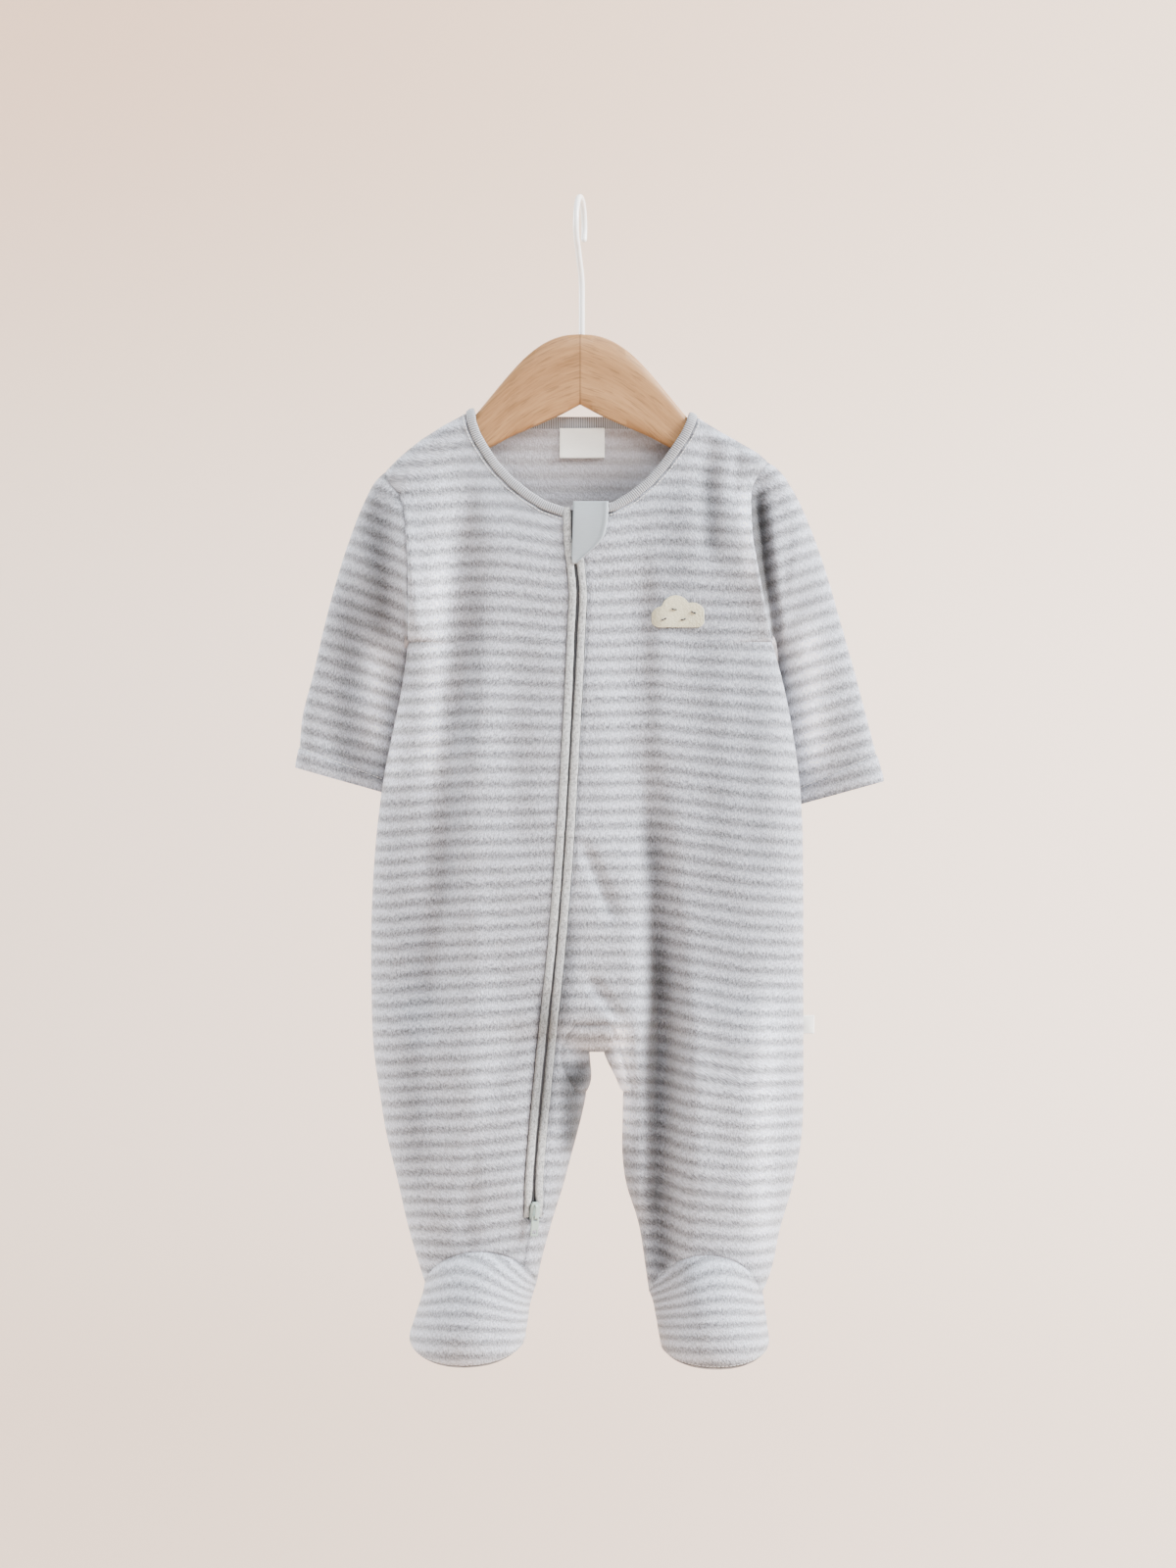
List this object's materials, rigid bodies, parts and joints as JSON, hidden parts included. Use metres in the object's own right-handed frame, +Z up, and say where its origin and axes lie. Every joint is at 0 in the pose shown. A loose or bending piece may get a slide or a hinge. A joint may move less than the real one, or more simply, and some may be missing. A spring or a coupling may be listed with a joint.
{
  "type": "footed baby sleepsuit on a wooden hanger",
  "caption": "Long-sleeved footed baby sleepsuit in striped fleece with a front zip that leads into one leg, hung on a flat wooden hanger with a wire hook.",
  "frame": {"origin": "inner top of the hook, where it bears on a rail", "axes": "+Z up, -Y the garment's front with the zip, +X to the right of someone who faces the front"},
  "size_m": [0.3618, 0.0865, 0.7187],
  "materials": {
    "fleece": "brushed fleece in two tones of striped grey",
    "binding": "fine rib knit",
    "welt": "plain fleece piping",
    "tape": "woven zip tape with a nylon coil",
    "enamel": "pale grey-green enamel",
    "ribbon": "folded woven ribbon",
    "label": "woven satin label, bare",
    "patch": "appliqued knit, plain",
    "wood": "clear-finished beech",
    "wire": "white coated steel wire"
  },
  "bodies": {
    "sleepsuit": {"back": "fleece", "chest_patch": "patch", "foot_upper_left": "fleece", "foot_upper_right": "fleece", "front_left": "fleece", "front_right": "fleece", "gusset": "fleece", "hanger_hook": "wire", "hanger_wood": "wood", "heel_left": "fleece", "heel_right": "fleece", "neck_binding": "binding", "neck_label": "label", "side_tag": "label", "sleeve_left": "fleece", "sleeve_right": "fleece", "sole_left": "fleece", "sole_right": "fleece", "welt_left": "welt", "welt_right": "welt", "zip_garage": "ribbon", "zip_slider": "enamel", "zip_tape": "tape"},
    "pull_tab": {"zip_pull": "enamel"}
  },
  "joints": [
    {"name": "pull_tab_swing", "type": "hinge", "parent": "sleepsuit", "child": "pull_tab", "pos_m": [-0.02717, -0.02365, -0.62068], "axis": [-0.9135, -0.4067, 0], "range_deg": [0, 135]}
  ]
}
